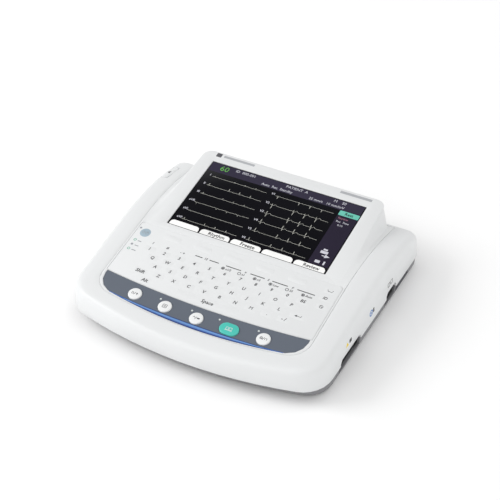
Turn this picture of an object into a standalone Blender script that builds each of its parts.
"""Desktop electrocardiograph with a tilted colour display and a membrane keyboard.

The upper case is a ring-shaped shell that carries the shoulders and the skirt, the lower case is a
tray with drafted walls, and a centre cover between them holds the display, the keyboard film and
the control strip.  A paper magazine slides out of the left side.  All sizes below are in
millimetres; the objects are made in metres.  X points right, Y to the rear and Z up, with the
origin on the table under the middle of the case.
"""
from math import atan2, ceil, cos, hypot, pi, radians, sin, sqrt, tan

import bmesh
import bpy
from mathutils import Matrix, Vector

MM = 0.001
GAP = 0.3                 # clearance between neighbouring pieces

# ---- case outline in plan, at the parting line between the two case halves
CASE_HALF_W = 121.0       # half width level with the front corners
CASE_FRONT = -107.0
CASE_REAR = 107.0
SIDE_FLARE = 0.018        # how much the sides open towards the rear, per millimetre of depth
FLARE_FROM = -50.0
BOW_R = 417.0             # radius of the bowed front
FRONT_CORNER_R = 26.0
REAR_CORNER_R = 7.0
PARTING_Z = 15.0
WALL = 2.4
SIDE_DRAFT = 1.5          # how far the skirt leans in between the parting line and its top
SIDE_FILLET = 6.5
FRONT_FILLET = 4.0

# ---- sloping control face
TILT = radians(7.0)
FACE_Y = 8.25             # lower edge of the display window
FACE_Z = 48.5
SHOULDER_FROM = 3.5       # behind this line the shoulders curve down from the face
SHOULDER_CURVE = 0.0022
PALM_FROM = -88.0         # in front of this line the palm rest rolls forward
PALM_CURVE = 0.004

# ---- centre cover
SEAM_X = 99.0             # half width of the centre cover at the keyboard
SEAM_FLARE = 0.02
COVER_FRONT = -88.4
COVER_BOW_R = 480.0
COVER_CORNER_X = 84.0
COVER_CORNER_R = 15.0
COVER_REAR = 100.7
COVER_WALL = 2.2
HOUSING_HALF_W = 96.0     # middle of the display housing's side slope, at the keyboard
HOUSING_TAPER = 0.030
HOUSING_FILLET = 2.0
HOUSING_REAR = 105.0      # where the top surface ends and the round rear edge begins
HOUSING_CORNER_R = 8.0
HOUSING_FOOT = 39.3       # the rear wall hangs just above the ledge of the upper case
COVER_ROWS = 10           # steps of the cover's grid from front to rear

# ---- display
WINDOW_W = 154.08
WINDOW_D = 85.92

# ---- keyboard film and control strip, measured along the face from the window's lower edge
FILM_HALF_W = 97.2
FILM_TOP = -6.9
FILM_T = 0.6
STRIP_HALF_W = 96.2
STRIP_BACK_R = 870.0
STRIP_BACK = -73.6
STRIP_FRONT = -95.8
STRIP_T = 0.8
TRIM_DEPTH = 3.2
TRIM_HALF_W = 78.0
INLAY_DEPTH = 1.0

# ---- keys on the strip
KEY_PITCH = 30.3
KEY_ROW = -85.7
KEY_BOW_R = 640.0
KEY_R = 6.0
START_HALF_L = 2.6        # half length of the straight part of the oval start key
KEY_PROUD = 1.1
LAMP_R = 0.9

# ---- paper magazine and recorder, on the left
MAG_FRONT = -19.0
MAG_REAR = 97.0
MAG_INNER_X = -16.0
DOOR_TOP = 30.6
SLOT_TOP = 34.0
PLATEN_X = -106.0
PLATEN_Z = 25.0
PLATEN_R = 5.5
SHAFT_R = 2.5
GEAR_MODULE = 0.75
PLATEN_TEETH = 24
IDLER_TEETH = 24
PINION_TEETH = 12
GEAR_FRONT = -27.5
GEAR_BACK = -23.5
MOTOR_R = 9.0

# ---- feet and case screws
FOOT_R = 7.0
FOOT_H = 2.7
BASE_Z = 2.0
SCREWS = ((-98.0, -80.0), (98.0, -80.0), (108.0, 92.0), (-9.8, 94.5))
FEET = ((-92.0, -62.0), (92.0, -62.0), (92.0, 86.0), (-92.0, 86.0))


# ======================================================================= scene and materials
def clear_scene():
    for item in list(bpy.data.objects):
        bpy.data.objects.remove(item, do_unlink=True)


def material(name, colour, roughness=0.5, metallic=0.0):
    """A Principled material, made once and shared by name."""
    found = bpy.data.materials.get(name)
    if found:
        return found
    made = bpy.data.materials.new(name)
    made.use_nodes = True
    shader = made.node_tree.nodes["Principled BSDF"]
    shader.inputs["Base Color"].default_value = (*colour, 1.0)
    shader.inputs["Roughness"].default_value = roughness
    shader.inputs["Metallic"].default_value = metallic
    return made


def white():
    return material("white_plastic", (0.84, 0.85, 0.85), 0.45)


def grey():
    return material("grey_plastic", (0.20, 0.21, 0.23), 0.5)


def dark():
    return material("dark_plastic", (0.03, 0.03, 0.035), 0.45)


def steel():
    return material("steel", (0.62, 0.63, 0.65), 0.3, 1.0)


def board():
    return material("circuit_board", (0.03, 0.22, 0.10), 0.5)


# ======================================================================= object helpers
def finish(name, bm, look, origin=(0, 0, 0), rotation=(0, 0, 0), smooth=35.0):
    """Turns a bmesh in millimetres, local to origin, into an object in metres."""
    bmesh.ops.recalc_face_normals(bm, faces=bm.faces)
    bmesh.ops.scale(bm, vec=(MM, MM, MM), verts=bm.verts)
    mesh = bpy.data.meshes.new(name)
    bm.to_mesh(mesh)
    bm.free()
    mesh.shade_smooth()
    mesh.set_sharp_from_angle(angle=radians(smooth))
    item = bpy.data.objects.new(name, mesh)
    item.location = Vector(origin) * MM
    item.rotation_euler = rotation
    item.data.materials.append(look)
    bpy.context.collection.objects.link(item)
    return item


def cut(target, cutter, operation="DIFFERENCE"):
    """Adds a Boolean of one cutter, which is hidden and left out of the model."""
    cutter.hide_render = True
    cutter.display_type = "WIRE"
    boolean = target.modifiers.new(cutter.name, "BOOLEAN")
    boolean.operation = operation
    boolean.solver = "EXACT"
    boolean.object = cutter
    return cutter


def add_box(bm, low, high):
    made = bmesh.ops.create_cube(bm, size=1.0)["verts"]
    for vert in made:
        for axis in range(3):
            middle = (low[axis] + high[axis]) / 2
            vert.co[axis] = middle + vert.co[axis] * (high[axis] - low[axis])
    return made


def add_prism(bm, outline, low, high, axis="Z"):
    """Extrudes a closed outline of (a, b) points between two heights along an axis."""
    place = {"Z": lambda a, b, h: (a, b, h),
             "Y": lambda a, b, h: (a, h, b),
             "X": lambda a, b, h: (h, a, b)}[axis]
    bottom = [bm.verts.new(place(a, b, low)) for a, b in outline]
    top = [bm.verts.new(place(a, b, high)) for a, b in outline]
    count = len(outline)
    bm.faces.new(bottom)
    bm.faces.new(top)
    for i in range(count):
        bm.faces.new((bottom[i], bottom[(i + 1) % count], top[(i + 1) % count], top[i]))


def circle(radius, sides=32, centre=(0.0, 0.0), start=0.0):
    turn = 2 * pi / sides
    return [(centre[0] + radius * cos(start + turn * i), centre[1] + radius * sin(start + turn * i))
            for i in range(sides)]


def rounded_rectangle(half_w, half_h, radius, centre=(0.0, 0.0), steps=4):
    """Outline of a rectangle with round corners, anticlockwise."""
    points = []
    for quarter, (sx, sy) in enumerate(((1, 1), (-1, 1), (-1, -1), (1, -1))):
        for i in range(steps + 1):
            angle = (quarter + i / steps) * pi / 2
            points.append((centre[0] + sx * (half_w - radius) + radius * cos(angle),
                           centre[1] + sy * (half_h - radius) + radius * sin(angle)))
    return points


def turned(bm, profile, sides=32, axis="Z", centre=(0.0, 0.0, 0.0)):
    """Turns a closed (radius, height) profile about an axis into a ring or, from r = 0, a solid."""
    place = {"Z": lambda a, b, h: (a, b, h),
             "Y": lambda a, b, h: (a, h, b),
             "X": lambda a, b, h: (h, a, b)}[axis]
    rings = []
    for radius, height in profile:
        if radius == 0:
            rings.append([bm.verts.new(Vector(place(0, 0, height)) + Vector(centre))])
            continue
        rings.append([bm.verts.new(Vector(place(a, b, height)) + Vector(centre))
                      for a, b in circle(radius, sides)])
    closed = profile[0][0] > 0
    pairs = list(zip(rings, rings[1:])) + ([(rings[-1], rings[0])] if closed else [])
    for lower, upper in pairs:
        for i in range(sides):
            j = (i + 1) % sides
            face = [lower[i % len(lower)], lower[j % len(lower)],
                    upper[j % len(upper)], upper[i % len(upper)]]
            bm.faces.new(list(dict.fromkeys(face)))


def box_object(name, low, high, look, bevel=0.0):
    bm = bmesh.new()
    add_box(bm, low, high)
    if bevel:
        bmesh.ops.bevel(bm, geom=bm.edges[:], offset=bevel, segments=1, affect="EDGES")
    return finish(name, bm, look)


def on_face(s, n=0.0, x=0.0):
    """World place of a point on the control face: s up the slope, n above the surface."""
    return (x, FACE_Y + s * cos(TILT) - n * sin(TILT), FACE_Z + s * sin(TILT) + n * cos(TILT))


def face_object(name, bm, look, x=0.0, s=0.0):
    """An object modelled flat in (x, s, n) and laid on the sloping face."""
    return finish(name, bm, look, on_face(s, 0.0, x), (TILT, 0, 0))


# ======================================================================= surface of the case
def face_height(y):
    return FACE_Z + (y - FACE_Y) * tan(TILT)


def shoulder_height(y):
    """Height of the side shoulders, which leave the face and curve down to the rear."""
    behind = max(0.0, y - SHOULDER_FROM)
    return face_height(y) - SHOULDER_CURVE * behind * behind


def top_height(x, y):
    """Height of the upper case's top at a place outside the centre cover."""
    beyond = max(0.0, abs(x) - SEAM_X)
    palm = max(0.0, PALM_FROM - y)
    return shoulder_height(y) - 0.004 * beyond * beyond - PALM_CURVE * palm * palm


def flare(x, y):
    return x * (1 + SIDE_FLARE * (y - FLARE_FROM) / CASE_HALF_W)


def arc_points(centre, radius, start, end, steps):
    return [(centre[0] + radius * cos(start + (end - start) * i / steps),
             centre[1] + radius * sin(start + (end - start) * i / steps)) for i in range(steps)]


def line_points(start, end, steps):
    return [(start[0] + (end[0] - start[0]) * i / steps, start[1] + (end[1] - start[1]) * i / steps)
            for i in range(steps)]


SEGMENTS = {"front": 6, "front_corner": 6, "side": 9, "rear_corner": 4, "rear": 2}


def mirrored_loop(half):
    """Closes a right half, which runs from the front centre to the rear centre."""
    return half + [(-x, y) for x, y in reversed(half[1:-1])]


def case_outline(inset, front_inset=None):
    """Plan outline of the case as one closed loop, moved in by inset, at the front by front_inset."""
    front_inset = inset if front_inset is None else front_inset
    front_r = FRONT_CORNER_R - (inset + front_inset) / 2
    rear_r = max(REAR_CORNER_R - inset, 0.8)
    bow = BOW_R - front_inset
    side = CASE_HALF_W - inset
    front = CASE_FRONT + front_inset
    rear = CASE_REAR - inset
    bow_y = front + bow
    corner = (side - front_r, bow_y - sqrt((bow - front_r) ** 2 - (side - front_r) ** 2))
    join = atan2(corner[1] - bow_y, corner[0])
    half = arc_points((0.0, bow_y), bow, -pi / 2, join, SEGMENTS["front"])
    half += arc_points(corner, front_r, join, 0.0, SEGMENTS["front_corner"])
    half += line_points((side, corner[1]), (side, rear - rear_r), SEGMENTS["side"])
    half += arc_points((side - rear_r, rear - rear_r), rear_r, 0.0, pi / 2, SEGMENTS["rear_corner"])
    half += line_points((side - rear_r, rear), (0.0, rear), SEGMENTS["rear"])
    half.append((0.0, rear))
    return mirrored_loop([(flare(x, y), y) for x, y in half])


def seam_x(y):
    return SEAM_X + SEAM_FLARE * max(0.0, y)


def cover_front(x, grow=0.0):
    """Front edge of the centre cover: a bow with a round corner at each end."""
    beyond = min(max(0.0, abs(x) - COVER_CORNER_X), COVER_CORNER_R + grow)
    corner = COVER_CORNER_R + grow - sqrt((COVER_CORNER_R + grow) ** 2 - beyond ** 2)
    return COVER_FRONT - grow + x * x / (2 * COVER_BOW_R) + corner


def opening_outline(grow):
    """Loop of the hole in the upper case, matched point for point with case_outline."""
    steps = SEGMENTS["front"]
    half = [(COVER_CORNER_X * i / steps, cover_front(COVER_CORNER_X * i / steps, grow))
            for i in range(steps)]
    steps = SEGMENTS["front_corner"]
    for i in range(steps):
        x = COVER_CORNER_X + (COVER_CORNER_R + grow) * sin(i / steps * pi / 2)
        half.append((x, cover_front(x, grow)))
    side_front = cover_front(SEAM_X + grow, grow)
    rear = COVER_REAR + grow
    steps = SEGMENTS["side"]
    for i in range(steps):
        y = side_front + (rear - 0.4 - side_front) * i / steps
        half.append((seam_x(y) + grow, y))
    corner_x = seam_x(rear) + grow
    half += arc_points((corner_x - 0.4, rear - 0.4), 0.4, 0.0, pi / 2, SEGMENTS["rear_corner"])
    half += line_points((corner_x - 0.4, rear), (0.0, rear), SEGMENTS["rear"])
    half.append((0.0, rear))
    return mirrored_loop(half)


def add_rings(bm, rings):
    """Skins a list of equally long closed rings of points with quads."""
    loops = [[bm.verts.new(point) for point in ring] for ring in rings]
    count = len(loops[0])
    for lower, upper in zip(loops, loops[1:]):
        for i in range(count):
            bm.faces.new((lower[i], lower[(i + 1) % count], upper[(i + 1) % count], upper[i]))
    return loops


def thicken(item, thickness):
    solid = item.modifiers.new("wall", "SOLIDIFY")
    solid.thickness = thickness * MM
    solid.offset = -1.0
    solid.use_even_offset = True


def orient_open(bm, up_hint):
    """Makes an open skin's faces point out, judged by one face that should look along up_hint."""
    bmesh.ops.recalc_face_normals(bm, faces=bm.faces)
    bm.normal_update()
    total = sum((face.normal.dot(up_hint) * face.calc_area() for face in bm.faces))
    if total < 0:
        bmesh.ops.reverse_faces(bm, faces=bm.faces)


def finish_skin(name, bm, look, thickness, outward):
    """Like finish, for an open skin that Solidify turns into a wall."""
    orient_open(bm, Vector(outward))
    bmesh.ops.scale(bm, vec=(MM, MM, MM), verts=bm.verts)
    mesh = bpy.data.meshes.new(name)
    bm.to_mesh(mesh)
    bm.free()
    mesh.shade_smooth()
    mesh.set_sharp_from_angle(angle=radians(40))
    item = bpy.data.objects.new(name, mesh)
    item.data.materials.append(look)
    bpy.context.collection.objects.link(item)
    thicken(item, thickness)
    return item


# ======================================================================= case shells
def skirt_profile(edge, outer):
    """Points from the hole's edge over the top, round the fillet and down the skirt."""
    dx, dy = outer[0] - edge[0], outer[1] - edge[1]
    length = hypot(dx, dy)
    ux, uy = dx / length, dy / length
    fillet = FRONT_FILLET + (SIDE_FILLET - FRONT_FILLET) * abs(ux)
    fillet = min(fillet, (length - SIDE_DRAFT) * 0.7)
    flat = length - SIDE_DRAFT - fillet
    points = []
    for i in range(4):
        x, y = edge[0] + ux * flat * i / 3, edge[1] + uy * flat * i / 3
        points.append((x, y, top_height(x, y)))
    crest = points[-1]
    for i in (1, 2, 3):
        angle = i / 3 * radians(86)
        out = fillet * sin(angle)
        points.append((crest[0] + ux * out, crest[1] + uy * out, crest[2] - fillet * (1 - cos(angle))))
    top = points[-1]
    for i in (1, 2):
        share = i / 2
        points.append((top[0] + (outer[0] - top[0]) * share, top[1] + (outer[1] - top[1]) * share,
                       top[2] + (PARTING_Z + GAP - top[2]) * share))
    return points


def skirt_x(y, z):
    """Outer face of the upper case's left wall, as a positive distance from the middle."""
    top = top_height(CASE_HALF_W, y) - SIDE_FILLET
    share = (z - PARTING_Z) / (top - PARTING_Z)
    return flare(CASE_HALF_W, y) - SIDE_DRAFT * share


def case_shell(name, thickness):
    """The ring-shaped top of the case, from the hole for the centre cover to the parting line."""
    columns = [skirt_profile(edge, outer)
               for edge, outer in zip(opening_outline(GAP), case_outline(0.0))]
    rings = [[column[i] for column in columns] for i in range(len(columns[0]))]
    bm = bmesh.new()
    add_rings(bm, rings)
    return finish_skin(name, bm, white(), thickness, (0, 0, 1))


def make_upper_case():
    case = case_shell("upper_case", WALL)
    add_bosses(case)
    cut_side_openings(case, "upper")
    cut_button_hole(case)
    cut_rear_openings(case)
    return case


def add_bosses(case):
    """Four posts that the case screws run up into; the one at the rear hangs from a rib."""
    for i, (x, y) in enumerate(SCREWS):
        under = shoulder_height(y if abs(x) > 90 else 101.0) - 1.6
        post = box_object(f"boss_post_{i}", (x - 3.0, y - 3.0, 8.3), (x + 3.0, y + 3.0, under), white())
        cut(case, post, "UNION")
        if abs(x) < 90:
            cut(case, box_object("boss_rib", (x - 2.5, y, 20.0), (x + 2.5, 105.0, under), white()), "UNION")
        bm = bmesh.new()
        add_prism(bm, circle(1.7, 12, (x, y)), 7.0, 19.0)
        cut(case, finish(f"boss_bore_{i}", bm, white()))


def lower_inset(z):
    """How far the lower case's wall stands in from the parting line's outline."""
    return 0.8 + (PARTING_Z - z) * 0.12


def make_lower_case():
    rim = PARTING_Z - GAP / 2
    levels = ((4.8, 10.5, BASE_Z), (3.2, 9.2, 3.0), (lower_inset(5.0), 7.4, 5.0),
              (1.2, 1.9, rim - 1.4), (1.2, 1.9, rim))
    bm = bmesh.new()
    rings = add_rings(bm, [[(x, y, z) for x, y in case_outline(side, front)]
                          for side, front, z in levels])
    bm.faces.new(rings[0])
    case = finish_skin("lower_case", bm, grey(), WALL, (0, 0, -1))
    for i, (x, y) in enumerate(SCREWS):
        bm = bmesh.new()
        add_prism(bm, circle(4.0, 14, (x, y)), 3.0, 8.0)
        cut(case, finish(f"screw_pad_{i}", bm, grey()), "UNION")
        bm = bmesh.new()
        turned(bm, [(0, 1.0), (3.2, 1.0), (3.2, 5.0), (1.7, 5.0), (1.7, 9.0), (0, 9.0)], 14,
               centre=(x, y, 0))
        cut(case, finish(f"screw_hole_{i}", bm, grey()))
    for i, (x, y) in enumerate(FEET):
        bm = bmesh.new()
        add_prism(bm, circle(FOOT_R + GAP, 16, (x, y)), 1.0, FOOT_H + GAP)
        cut(case, finish(f"foot_recess_{i}", bm, grey()))
    hatch = rounded_rectangle(20.4, 37.4, 3.0, (15.0, 54.0))
    bm = bmesh.new()
    add_prism(bm, hatch, 1.0, 6.0)
    cut(case, finish("hatch_hole", bm, grey()))
    for i in range(5):
        slot = rounded_rectangle(8.0, 0.9, 0.85, (-70.0, -78.0 + 4.0 * i), 2)
        bm = bmesh.new()
        add_prism(bm, slot, 1.0, 6.0)
        cut(case, finish(f"speaker_slot_{i}", bm, grey()))
    cut_side_openings(case, "lower")
    return case


def cut_side_openings(case, half):
    """Holes in the side walls for the magazine, the patient connector and the ports."""
    magazine = box_object(f"{half}_magazine_hole", (-130.0, MAG_FRONT - 0.5, 5.0),
                          (-112.0, MAG_REAR + 0.5, SLOT_TOP), dark())
    cut(case, magazine)
    for name, y0, y1, z0, z1 in (("patient", -53.5, -15.0, 7.0, 20.5), ("network", 35.5, 56.0, 7.0, 21.5)):
        bm = bmesh.new()
        slope = 3.0
        outline = [(y0, z0), (y1, z0), (y1, z1 - slope), (y1 - slope, z1), (y0 + slope, z1),
                   (y0, z1 - slope)]
        add_prism(bm, outline, 112.9, 130.0, "X")
        cut(case, finish(f"{half}_{name}_hole", bm, dark()))
    if half == "lower":
        cut(case, box_object("card_hole", (112.0, 58.0, 6.0), (130.0, 85.0, 11.8), dark()))


def cut_rear_openings(case):
    """Holes in the rear wall for the mains inlet, the service port and the ground terminal."""
    bm = bmesh.new()
    add_prism(bm, rounded_rectangle(14.3, 8.8, 0.5, (82.0, 26.5), 2), 96.0, 120.0, "Y")
    cut(case, finish("inlet_hole", bm, dark()))
    bm = bmesh.new()
    add_prism(bm, rounded_rectangle(7.9, 4.3, 0.8, (28.0, 25.0), 2), 96.0, 120.0, "Y")
    cut(case, finish("service_hole", bm, dark()))
    bm = bmesh.new()
    add_prism(bm, circle(7.0, 28, (54.0, 25.0)), 96.0, 120.0, "Y")
    cut(case, finish("ground_hole", bm, dark()))


BUTTON_PLACE = (-115.9, 78.0)
BUTTON_HALF = (4.6, 11.6)
BUTTON_T = 4.5


def button_prism(name, grow, low):
    x, y = BUTTON_PLACE
    bm = bmesh.new()
    add_prism(bm, rounded_rectangle(BUTTON_HALF[0] + grow, BUTTON_HALF[1] + grow, 1.8 + grow, (x, y)),
              low, 60.0)
    return finish(name, bm, white())


def cut_button_hole(case):
    cut(case, button_prism("release_hole", GAP, 32.4))


def make_release_button():
    """The button is a thicker piece of the shoulder's own surface, so it follows the round edge."""
    button = case_shell("release_button", BUTTON_T)
    cut(button, button_prism("release_shape", 0.0, 34.4), "INTERSECT")
    return button


# ======================================================================= centre cover
def housing_edge(y):
    return HOUSING_HALF_W - HOUSING_TAPER * max(0.0, y)


def slope_width(y):
    """Width of the slope between the display housing and the shoulder."""
    return 7.5 - 1.5 * min(1.0, max(0.0, y / 100.0))


def smooth(t):
    t = min(1.0, max(0.0, t))
    return t * t * (3 - 2 * t)


def cover_columns():
    """Fractions that place the grid's columns: across the flat, down the slope, along the ledge."""
    flat = [("flat", share) for share in (0.0, 0.3, 0.6, 0.85)]
    corner = [("corner", share) for share in (0.0, 0.3, 0.55, 0.75, 0.89, 0.97)]
    slope = [("slope", share) for share in (0.0, 0.2, 0.45, 0.7, 0.88)]
    return flat + corner + slope + [("ledge", 0.0), ("ledge", 1.0)]


def column_x(kind, share, y, inset):
    """Distance from the middle; the inside's inset fades out towards the front edge."""
    inset *= min(1.0, max(0.0, 1.0 + y / 30.0))
    edge, width, seam = housing_edge(y) - inset, slope_width(y), seam_x(y)
    start, end = edge - width / 2, min(edge + width / 2, seam - 1.0 - inset)
    if kind == "flat":
        return (start - HOUSING_CORNER_R) * share
    if kind == "corner":
        return start - HOUSING_CORNER_R * (1 - share)
    if kind == "slope":
        return start + (end - start) * share
    return end + (seam - end) * share


def rear_profile(kind, share):
    """Where a column leaves the top surface, where its wall and its ledge end, and the foot's height."""
    corner_y = HOUSING_REAR - HOUSING_CORNER_R
    ledge = COVER_REAR - 0.6
    if kind in ("flat", "corner"):
        across = share if kind == "corner" else 0.0
        top = corner_y + HOUSING_CORNER_R * sqrt(1 - across * across)
        wall = top + HOUSING_FILLET
    else:
        top = corner_y
        wall = corner_y + 2.4 * (1 - share if kind == "slope" else 0.4)
    if wall > ledge + 1.5:
        return top, wall, wall, HOUSING_FOOT
    if wall > ledge - 2.5 and kind == "corner" and share < 0.99:
        return top, ledge, ledge, HOUSING_FOOT
    return top, min(wall, ledge), ledge, HOUSING_FOOT - 2.3


def column_line(side, kind, share, inset):
    """One column of the cover: along the top, over the rear edge, down to the ledge, and its foot."""
    drop = smooth(share) if kind == "slope" else float(kind == "ledge")
    top, wall, ledge, foot = rear_profile(kind, share)
    hanging = foot == HOUSING_FOOT
    top, wall, ledge = top - inset, wall - inset, ledge - inset
    front = cover_front(min(column_x(kind, share, 0.0, 0.0), SEAM_X)) + inset * sin(TILT)
    line = []
    for i in range(COVER_ROWS + 1):
        y = front + (top - front) * i / COVER_ROWS
        line.append((y, face_height(y) - (face_height(y) - shoulder_height(y)) * drop - inset))
    z = line[-1][1]
    base = foot if hanging else shoulder_height(wall) - inset
    for i in (1, 2, 3):
        angle = i / 3 * pi / 2
        y = top + (wall - top) * (sin(angle) if drop < 1 else i / 3)
        fall = min(HOUSING_FILLET, 0.6 * (z - base)) * (1 - cos(angle))
        line.append((y, z - fall if drop < 1 else shoulder_height(y) - inset))
    line.append((wall, base) if drop < 1 else (wall + 0.3, shoulder_height(wall + 0.3) - inset))
    line.append((ledge, base if hanging else shoulder_height(ledge) - inset))
    line.append((ledge, foot))
    return [(side * column_x(kind, share, y, inset), y, z) for y, z in line]


def make_centre_cover():
    """The outside and the inside of the cover are two grids of the same layout, joined at the rim."""
    kinds = cover_columns()
    columns = [(-1, kind, share) for kind, share in reversed(kinds)] + [(1, k, s) for k, s in kinds[1:]]
    bm = bmesh.new()
    outside, inside = ([[bm.verts.new(point) for point in column_line(*column, inset)]
                        for column in columns] for inset in (0.0, COVER_WALL))
    for grid in (outside, inside):
        for left, right in zip(grid, grid[1:]):
            for i in range(len(left) - 1):
                bm.faces.new((left[i], right[i], right[i + 1], left[i + 1]))
    rims = [(outside[0], inside[0]), (outside[-1], inside[-1])]
    rims += [([line[end] for line in outside], [line[end] for line in inside]) for end in (0, -1)]
    for outer, inner in rims:
        for i in range(len(outer) - 1):
            bm.faces.new((outer[i], outer[i + 1], inner[i + 1], inner[i]))
    bmesh.ops.remove_doubles(bm, verts=bm.verts, dist=0.01)
    cover = finish("centre_cover", bm, white())
    cut_face_recesses(cover)
    return cover


def strip_back(x):
    return STRIP_BACK + x * x / (2 * STRIP_BACK_R)


def strip_outline(inset=0.0, steps=18):
    """Outline of the strip's seat: two bows that meet in round front corners."""
    half = STRIP_HALF_W - inset
    points = []
    for i in range(steps + 1):
        x = -half + 2 * half * i / steps
        points.append((x, strip_back(x) - inset))
    for i in range(steps + 1):
        x = half * cos(pi * i / steps)
        beyond = max(0.0, abs(x) - COVER_CORNER_X + 2.0)
        reach = half - COVER_CORNER_X + 2.0
        corner = reach - sqrt(max(0.0, reach * reach - beyond * beyond))
        points.append((x, STRIP_FRONT + inset + x * x / (2 * COVER_BOW_R) + corner))
    return points


def trim_edge(x):
    """Rear edge of the coloured trim: it meets the strip's front edge at the trim's ends."""
    share = max(0.0, 1 - (x / TRIM_HALF_W) ** 2)
    return STRIP_FRONT + x * x / (2 * COVER_BOW_R) + TRIM_DEPTH * share


def key_places():
    """Names and places of the five keys, from left to right."""
    names = ("function_key_1", "function_key_2", "function_key_3", "start_key", "function_key_4")
    return [(name, KEY_PITCH * (i - 2) + 0.6, KEY_ROW + (KEY_PITCH * (i - 2)) ** 2 / (2 * KEY_BOW_R))
            for i, name in enumerate(names)]


def key_outline(name, grow=0.0, sides=28):
    """A circle, drawn out sideways into an oval for the start key."""
    stretch = START_HALF_L if name == "start_key" else 0.0
    points = []
    for x, y in circle(KEY_R + grow, sides, start=pi / sides):
        points.append((x + (stretch if x > 0 else -stretch), y))
    return points


def lamp_places():
    """Status lamps stand behind and to the left of every key but the first."""
    return [(x - (12.0 if name == "start_key" else 7.4), s + 6.2) for name, x, s in key_places()[1:]]


def cut_face_recesses(cover):
    """Window opening, seats for the film and the strip, and the holes of the keys and lamps."""
    half_w, half_d = WINDOW_W / 2, WINDOW_D / 2
    bm = bmesh.new()
    add_prism(bm, rounded_rectangle(half_w, half_d, 0.8, (0.0, half_d), 2), -9.0, 6.0)
    cut(cover, face_object("window_hole", bm, white()))
    bm = bmesh.new()
    add_prism(bm, film_outline(-GAP), -INLAY_DEPTH, 6.0)
    cut(cover, face_object("film_seat", bm, white()))
    bm = bmesh.new()
    add_prism(bm, strip_outline(0.0), -INLAY_DEPTH - 0.2, 6.0)
    cut(cover, face_object("strip_seat", bm, white()))
    for name, x, s in key_places():
        bm = bmesh.new()
        add_prism(bm, [(a + x, b + s) for a, b in key_outline(name, GAP + 0.1)], -9.0, 6.0)
        cut(cover, face_object(f"{name}_hole", bm, white()))
    for i, (x, s) in enumerate(lamp_places()):
        bm = bmesh.new()
        add_prism(bm, circle(LAMP_R + GAP, 12, (x, s)), -9.0, 6.0)
        cut(cover, face_object(f"lamp_hole_{i}", bm, white()))


def film_outline(inset=0.0, steps=16):
    """Keyboard film: straight at the rear with round corners, bowed at the front."""
    half, top = FILM_HALF_W - inset, FILM_TOP - inset
    points = arc_points((half - 3.0, top - 3.0), 3.0, 0.0, pi / 2, 4) + [(half - 3.0, top)]
    points += arc_points((-half + 3.0, top - 3.0), 3.0, pi / 2, pi, 4) + [(-half, top - 3.0)]
    for i in range(steps + 1):
        x = -half + 2 * half * i / steps
        points.append((x, strip_back(x) + 0.5 + inset))
    return points


def make_display():
    half_w, half_d = WINDOW_W / 2, WINDOW_D / 2
    glass = material("display_glass", (0.02, 0.02, 0.025), 0.08)
    bm = bmesh.new()
    add_prism(bm, rounded_rectangle(half_w - GAP, half_d - GAP, 0.6, (0.0, half_d), 2), -1.7, -0.2)
    face_object("display_window", bm, glass)
    bm = bmesh.new()
    add_box(bm, (-80.0, -3.0, -8.0), (80.0, 88.0, -2.6))
    return face_object("lcd_module", bm, material("lcd_metal", (0.45, 0.46, 0.48), 0.35, 1.0))


def make_film():
    bm = bmesh.new()
    add_prism(bm, film_outline(0.0), -0.7, -0.7 + FILM_T)
    return face_object("keyboard_film", bm, material("film", (0.82, 0.83, 0.83), 0.55))


def make_strip():
    """Grey control strip, the coloured trim in front of it, and the lamps in it."""
    look = material("strip_grey", (0.10, 0.12, 0.15), 0.5)
    outline = strip_outline(GAP)
    back = outline[:len(outline) // 2]
    front = outline[len(outline) // 2:]
    front = [(x, max(s, trim_edge(x) + GAP / 2)) if abs(x) < TRIM_HALF_W else (x, s) for x, s in front]
    bm = bmesh.new()
    add_prism(bm, back + front, -0.9, -0.9 + STRIP_T)
    strip = face_object("control_strip", bm, look)
    for name, x, s in key_places():
        bm = bmesh.new()
        add_prism(bm, [(a + x, b + s) for a, b in key_outline(name, GAP)], -3.0, 3.0)
        cut(strip, face_object(f"{name}_gap", bm, look))
    for i, (x, s) in enumerate(lamp_places()):
        bm = bmesh.new()
        add_prism(bm, circle(LAMP_R + GAP, 12, (x, s)), -3.0, 3.0)
        cut(strip, face_object(f"lamp_gap_{i}", bm, look))
    make_trim()
    for i, (x, s) in enumerate(lamp_places()):
        bm = bmesh.new()
        add_prism(bm, circle(LAMP_R, 12, (x, s)), -4.6, 0.1)
        face_object(f"status_lamp_{i + 1}", bm, material("lamp", (0.75, 0.80, 0.80), 0.25))


def make_trim(steps=14):
    """Crescent trim: a flat underside and a crowned top that thins out to both ends."""
    bm = bmesh.new()
    reach = TRIM_HALF_W - 12.0
    sections = []
    for i in range(steps + 1):
        x = -reach + 2 * reach * i / steps
        front = STRIP_FRONT + GAP + x * x / (2 * COVER_BOW_R)
        back = trim_edge(x) - GAP / 2
        width = back - front
        profile = [(front, -0.9), (front, 0.0)]
        profile += [(front + width * t, 0.55 * sin(pi * t)) for t in (0.25, 0.5, 0.75)]
        profile += [(back, 0.0), (back, -0.9)]
        sections.append([bm.verts.new((x, s, n)) for s, n in profile])
    for left, right in zip(sections, sections[1:]):
        for i in range(len(left)):
            j = (i + 1) % len(left)
            bm.faces.new((left[i], left[j], right[j], right[i]))
    bm.faces.new(sections[0])
    bm.faces.new(sections[-1])
    return face_object("trim_strip", bm, material("trim_blue", (0.05, 0.16, 0.50), 0.2))


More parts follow.
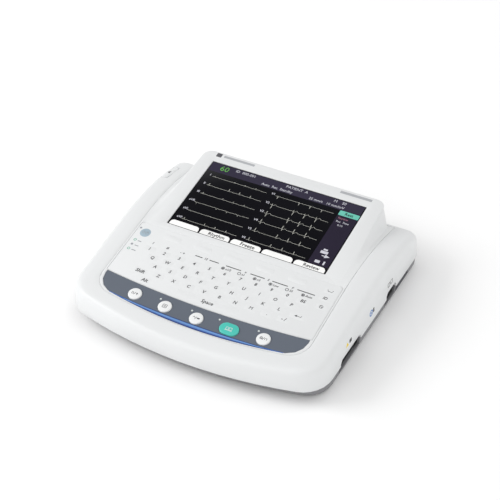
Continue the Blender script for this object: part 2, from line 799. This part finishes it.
def make_keys():
    """Each key is a domed cap with a wider foot that keeps it under the cover."""
    colours = {"start_key": (0.04, 0.52, 0.40)}
    for name, x, s in key_places():
        look = material(f"{name}_colour", colours.get(name, (0.83, 0.84, 0.84)), 0.4)
        bm = bmesh.new()
        rings = []
        for grow, n in ((1.0, -3.6), (1.0, -2.7), (0.0, -2.7), (0.0, KEY_PROUD - 0.6),
                        (-0.25, KEY_PROUD - 0.2), (-0.8, KEY_PROUD)):
            rings.append([(a, b, n) for a, b in key_outline(name, grow)])
        loops = add_rings(bm, rings)
        bm.faces.new(loops[0])
        bm.faces.new(loops[-1])
        finish(name, bm, look, on_face(s, 0.0, x), (TILT, 0, 0))


def make_switch_board():
    bm = bmesh.new()
    add_box(bm, (-64.9, -92.0, -8.2), (90.0, -14.0, -6.6))
    item = face_object("switch_board", bm, board())
    for name, x, s in key_places():
        bm = bmesh.new()
        add_box(bm, (x - 3.0, s - 3.0, -7.0), (x + 3.0, s + 3.0, -5.0))
        cut(item, face_object(f"{name}_switch", bm, dark()), "UNION")
    return item


# ======================================================================= paper magazine
def make_magazine():
    """Tray with a grey front, a white door above it and the folded paper."""
    look = grey()
    bm = bmesh.new()
    front_x = -(CASE_HALF_W - 12.0)
    add_box(bm, (front_x, MAG_FRONT, 5.4), (MAG_INNER_X, MAG_REAR, 18.4))
    tray = finish("magazine_tray", bm, look)
    cut(tray, box_object("tray_well", (front_x + 1.6, MAG_FRONT + 1.6, 7.0),
                         (MAG_INNER_X - 1.6, MAG_REAR - 1.6, 40.0), look))
    bm = bmesh.new()
    add_wall_panel(bm, lambda y, z: flare(CASE_HALF_W - lower_inset(z), y), 5.4, PARTING_Z - 0.2, -108.2)
    cut(tray, finish("tray_front", bm, look), "UNION")
    bm = bmesh.new()
    add_wall_panel(bm, skirt_x, PARTING_Z + 0.15, DOOR_TOP, -115.6)
    finish("magazine_door", bm, white())
    box_object("paper_pack", (front_x + 2.2, MAG_FRONT + 2.6, 7.4),
               (MAG_INNER_X - 4.0, MAG_REAR - 2.6, 17.6),
               material("paper", (0.86, 0.82, 0.76), 0.8))


def add_wall_panel(bm, outer_x, low, high, inner_x, steps=8):
    """A panel in the left wall whose outside follows the wall it fills."""
    loops = []
    for i in range(steps + 1):
        y = MAG_FRONT + (MAG_REAR - MAG_FRONT) * i / steps
        section = [(-outer_x(y, low), y, low), (-outer_x(y, high), y, high), (inner_x, y, high),
                   (inner_x, y, low)]
        loops.append([bm.verts.new(point) for point in section])
    for front, back in zip(loops, loops[1:]):
        for i in range(4):
            j = (i + 1) % 4
            bm.faces.new((front[i], front[j], back[j], back[i]))
    bm.faces.new(loops[0])
    bm.faces.new(loops[-1])


# ======================================================================= recorder
def gear_outline(teeth, start=0.0):
    """Straight-flanked teeth with running clearance."""
    pitch_r = GEAR_MODULE * teeth / 2
    tip, root = pitch_r + 0.85 * GEAR_MODULE, pitch_r - 1.15 * GEAR_MODULE
    step = 2 * pi / teeth
    points = []
    for i in range(teeth):
        for offset, radius in ((-0.27, root), (-0.10, tip), (0.10, tip), (0.27, root)):
            angle = start + (i + offset) * step
            points.append((radius * cos(angle), radius * sin(angle)))
    return points


def add_gear(name, teeth, centre_x, start, bore, look):
    """A gear with its object origin on its axis, which runs along Y."""
    bm = bmesh.new()
    add_prism(bm, gear_outline(teeth, start), GEAR_FRONT, GEAR_BACK, "Y")
    gear = finish(name, bm, look, (centre_x, 0, PLATEN_Z))
    if bore:
        bm = bmesh.new()
        add_prism(bm, circle(bore, 20), GEAR_FRONT - 1, GEAR_BACK + 1, "Y")
        cut(gear, finish(f"{name}_bore", bm, look, (centre_x, 0, PLATEN_Z)))
    return gear


def idler_x():
    return PLATEN_X + GEAR_MODULE * (PLATEN_TEETH + IDLER_TEETH) / 2


def motor_x():
    return idler_x() + GEAR_MODULE * (IDLER_TEETH + PINION_TEETH) / 2


def make_recorder():
    nylon = material("gear_nylon", (0.80, 0.79, 0.72), 0.5)
    rubber = material("platen_rubber", (0.05, 0.05, 0.05), 0.8)
    make_recorder_frame()
    turned_part("platen_shaft", steel(), [(0, -33.0), (SHAFT_R, -33.0), (SHAFT_R, 101.0), (0, 101.0)],
                PLATEN_X, 20)
    turned_part("platen_roller", rubber, [(SHAFT_R + GAP, -17.0), (PLATEN_R, -17.0), (PLATEN_R, 95.0),
                                          (SHAFT_R + GAP, 95.0)], PLATEN_X, 28)
    for name, low, high in (("platen_bush_front", -31.4, -28.2), ("platen_bush_rear", 97.2, 100.2)):
        turned_part(name, material("bronze", (0.55, 0.38, 0.18), 0.35, 1.0),
                    [(SHAFT_R + GAP, low), (4.2, low), (4.2, high), (SHAFT_R + GAP, high)], PLATEN_X, 20)
    add_gear("platen_gear", PLATEN_TEETH, PLATEN_X, 0.0, SHAFT_R + GAP, nylon)
    add_gear("idler_gear", IDLER_TEETH, idler_x(), pi / IDLER_TEETH, 1.8, nylon)
    turned_part("idler_pin", steel(), [(0, -31.6), (1.5, -31.6), (1.5, -23.0), (0, -23.0)], idler_x(), 16)
    bm = bmesh.new()
    add_prism(bm, gear_outline(PINION_TEETH), GEAR_FRONT, GEAR_BACK, "Y")
    pinion = finish("motor_pinion", bm, material("brass", (0.60, 0.45, 0.16), 0.35, 1.0),
                    (motor_x(), 0, PLATEN_Z))
    bm = bmesh.new()
    add_prism(bm, circle(1.0, 12), -33.0, GEAR_FRONT + 1, "Y")
    cut(pinion, finish("pinion_shaft", bm, steel(), (motor_x(), 0, PLATEN_Z)), "UNION")
    turned_part("feed_motor", material("motor_can", (0.35, 0.36, 0.38), 0.4, 1.0),
                [(0, -53.0), (MOTOR_R - 1, -53.0), (MOTOR_R, -52.0), (MOTOR_R, -33.6), (0, -33.6)],
                motor_x(), 28)
    box_object("print_head", (-113.0, -15.0, PLATEN_Z + PLATEN_R + 0.5), (-94.0, 93.0, 33.6),
               material("print_head", (0.55, 0.53, 0.48), 0.4, 0.6), 0.4)
    for name, y in (("head_spring_front", 6.0), ("head_spring_rear", 72.0)):
        make_leaf_spring(name, y)


def turned_part(name, look, profile, x, sides):
    bm = bmesh.new()
    turned(bm, profile, sides, "Y")
    return finish(name, bm, look, (x, 0, PLATEN_Z))


def make_leaf_spring(name, y):
    """Bowed leaf that presses the print head onto the platen."""
    top = [(-111.0 + 2.0 * i, 33.95 + 1.2 * sin(pi * i / 8)) for i in range(9)]
    under = [(x, z + 0.35) for x, z in reversed(top)]
    bm = bmesh.new()
    add_prism(bm, top + under, y, y + 9.0, "Y")
    return finish(name, bm, steel())


def make_recorder_frame():
    """Bent sheet: an end plate at each end of the platen, joined over the print head."""
    sheet = material("sheet_metal", (0.60, 0.61, 0.62), 0.4, 1.0)
    frame = box_object("recorder_frame", (-110.0, -30.9, 35.9), (-92.0, 94.0, 37.1), sheet)
    plate = box_object("gear_plate", (-115.0, -31.0, 12.6), (-62.0, -29.4, 35.0), sheet)
    link = box_object("gear_plate_link", (-110.0, -31.0, 34.0), (-92.0, -29.4, 37.0), sheet)
    rear = box_object("rear_plate", (-114.0, 98.0, 19.5), (-94.0, 99.5, 35.3), sheet)
    joggle = box_object("top_joggle", (-110.0, 92.8, 34.2), (-92.0, 94.0, 37.0), sheet)
    step = box_object("top_step", (-110.0, 92.9, 34.2), (-92.0, 99.4, 35.4), sheet)
    for piece in (link, plate, joggle, step, rear):
        cut(frame, piece, "UNION")
    bm = bmesh.new()
    add_prism(bm, circle(4.5, 24, (PLATEN_X, PLATEN_Z)), -40.0, 120.0, "Y")
    cut(frame, finish("bush_holes", bm, sheet))
    for name, x, radius in (("idler_pin_hole", idler_x(), 1.8), ("motor_hole", motor_x(), 2.0)):
        bm = bmesh.new()
        add_prism(bm, circle(radius, 16, (x, PLATEN_Z)), -40.0, -20.0, "Y")
        cut(frame, finish(name, bm, sheet))


# ======================================================================= electronics
def make_electronics():
    sheet = material("sheet_metal", (0.60, 0.61, 0.62), 0.4, 1.0)
    chassis = box_object("chassis_plate", (-50.0, -93.0, 6.0), (58.0, -24.0, 7.2), sheet)
    for i, (x, y) in enumerate(((-45.0, -80.0), (50.0, -80.0), (-45.0, -30.0), (50.0, -30.0))):
        bm = bmesh.new()
        add_prism(bm, circle(2.5, 12, (x, y)), 6.6, 11.2)
        cut(chassis, finish(f"chassis_post_{i}", bm, sheet), "UNION")
    main = box_object("main_board", (-50.0, -86.0, 11.6), (56.0, -25.0, 13.2), board())
    for i, (x, y, w, d, h) in enumerate(((-30, -60, 14, 14, 1.6), (5, -50, 22, 11, 1.4),
                                         (35, -65, 9, 9, 2.0), (-5, -75, 16, 7, 5.0))):
        low, high = (x - w / 2, y - d / 2, 13.0), (x + w / 2, y + d / 2, 13.2 + h)
        chip = box_object(f"chip_{i}", low, high, dark())
        cut(main, chip, "UNION")
    box_object("amplifier_board", (62.0, -60.0, 11.6), (104.0, -6.0, 13.2), board())
    make_shield((64.0, -58.0, 13.6), (102.0, -8.0, 25.0), sheet)
    power = box_object("power_board", (40.0, 46.0, 8.0), (86.0, 86.0, 9.6), board())
    for i, (x, y, r, h) in enumerate(((46.0, 78.0, 5.0, 16.0), (80.0, 52.0, 4.0, 11.0))):
        bm = bmesh.new()
        add_prism(bm, circle(r, 16, (x, y)), 9.0, 9.6 + h)
        cut(power, finish(f"capacitor_{i}", bm, dark()), "UNION")
    box_object("transformer", (52.0, 56.0, 10.0), (74.0, 80.0, 28.0),
               material("transformer", (0.50, 0.40, 0.12), 0.5), 1.0)
    box_object("battery_pack", (-4.0, 18.0, 5.0), (34.0, 90.0, 24.0),
               material("battery", (0.06, 0.10, 0.22), 0.4), 1.5)
    bm = bmesh.new()
    add_prism(bm, rounded_rectangle(20.0, 37.0, 2.8, (15.0, 54.0)), BASE_Z, 4.4)
    finish("battery_cover", bm, grey())
    bm = bmesh.new()
    turned(bm, [(0, 5.0), (13.5, 5.0), (13.5, 6.6), (9.0, 11.0), (7.0, 15.0), (0, 15.0)], 28,
           centre=(-70.0, -70.0, 0))
    finish("speaker", bm, dark())


def make_shield(low, high, look):
    """Pressed can over the amplifier, open towards its board."""
    shield = box_object("amplifier_shield", low, high, look)
    inside = box_object("shield_inside", (low[0] + 0.8, low[1] + 0.8, low[2] - 5.0),
                        (high[0] - 0.8, high[1] - 0.8, high[2] - 0.8), look)
    cut(shield, inside)


# ======================================================================= connectors
def make_connectors():
    look = dark()
    connector = box_object("patient_connector", (104.6, -52.6, 7.4), (112.5, -15.6, 19.6), look)
    shell = [(-46.3, 9.0), (-22.3, 9.0), (-20.9, 18.2), (-47.7, 18.2)]
    bm = bmesh.new()
    add_prism(bm, shell, 110.0, 118.0, "X")
    cut(connector, finish("connector_shell", bm, look), "UNION")
    bm = bmesh.new()
    socket = [(-45.2, 10.0), (-23.4, 10.0), (-22.2, 17.2), (-46.4, 17.2)]
    add_prism(bm, socket, 111.6, 130.0, "X")
    cut(connector, finish("connector_socket", bm, look))

    network = box_object("network_port", (99.0, 37.6, 7.4), (117.0, 53.8, 18.0), look)
    cut(network, box_object("network_socket", (106.0, 39.8, 9.0), (130.0, 51.6, 15.6), look))

    socket = box_object("card_socket", (90.0, 58.6, 6.5), (117.0, 84.4, 11.3), look)
    cut(socket, box_object("card_slot", (80.0, 59.2, 7.4), (130.0, 83.8, 10.4), look))
    box_object("memory_card", (88.0, 59.5, 7.8), (119.0, 83.5, 9.9),
               material("card", (0.05, 0.12, 0.35), 0.5))

    inlet = box_object("mains_inlet", (68.0, 89.0, 18.0), (96.0, 106.2, 35.0), look)
    bm = bmesh.new()
    add_prism(bm, rounded_rectangle(12.0, 7.0, 2.0, (82.0, 26.5)), 91.5, 120.0, "Y")
    cut(inlet, finish("inlet_socket", bm, look))
    for i, (x, z) in enumerate(((75.0, 25.0), (82.0, 28.6), (89.0, 25.0))):
        pin = box_object(f"inlet_pin_{i}", (x - 1.0, 90.5, z - 2.0), (x + 1.0, 98.5, z + 2.0), look)
        cut(inlet, pin, "UNION")

    service = box_object("service_port", (20.4, 93.0, 21.0), (35.6, 106.2, 29.0), look)
    cut(service, box_object("service_socket", (21.6, 95.0, 22.4), (34.4, 120.0, 27.6), look))

    bm = bmesh.new()
    turned(bm, [(0, 94.0), (2.0, 94.0), (2.0, 101.0), (6.6, 101.0), (6.6, 102.6), (3.2, 102.6),
                (3.2, 105.8), (0, 105.8)], 24, "Y", (54.0, 0, 25.0))
    finish("ground_terminal", bm, material("brass", (0.60, 0.45, 0.16), 0.35, 1.0))


# ======================================================================= feet and screws
def make_feet_and_screws():
    rubber = material("foot_rubber", (0.10, 0.10, 0.11), 0.85)
    for i, (x, y) in enumerate(FEET):
        bm = bmesh.new()
        turned(bm, [(0, 0), (FOOT_R - 0.8, 0), (FOOT_R, 0.8), (FOOT_R, FOOT_H), (0, FOOT_H)], 16)
        finish(f"foot_{i + 1}", bm, rubber, (x, y, 0))
    for i, (x, y) in enumerate(SCREWS):
        bm = bmesh.new()
        turned(bm, [(0, 2.7), (2.8, 2.7), (2.8, 4.7), (1.3, 4.7), (1.3, 17.0), (0, 17.0)], 12)
        finish(f"case_screw_{i + 1}", bm, steel(), (x, y, 0))


def main():
    clear_scene()
    make_upper_case()
    make_lower_case()
    make_centre_cover()
    make_display()
    make_film()
    make_strip()
    make_keys()
    make_switch_board()
    make_release_button()
    make_magazine()
    make_recorder()
    make_electronics()
    make_connectors()
    make_feet_and_screws()


main()
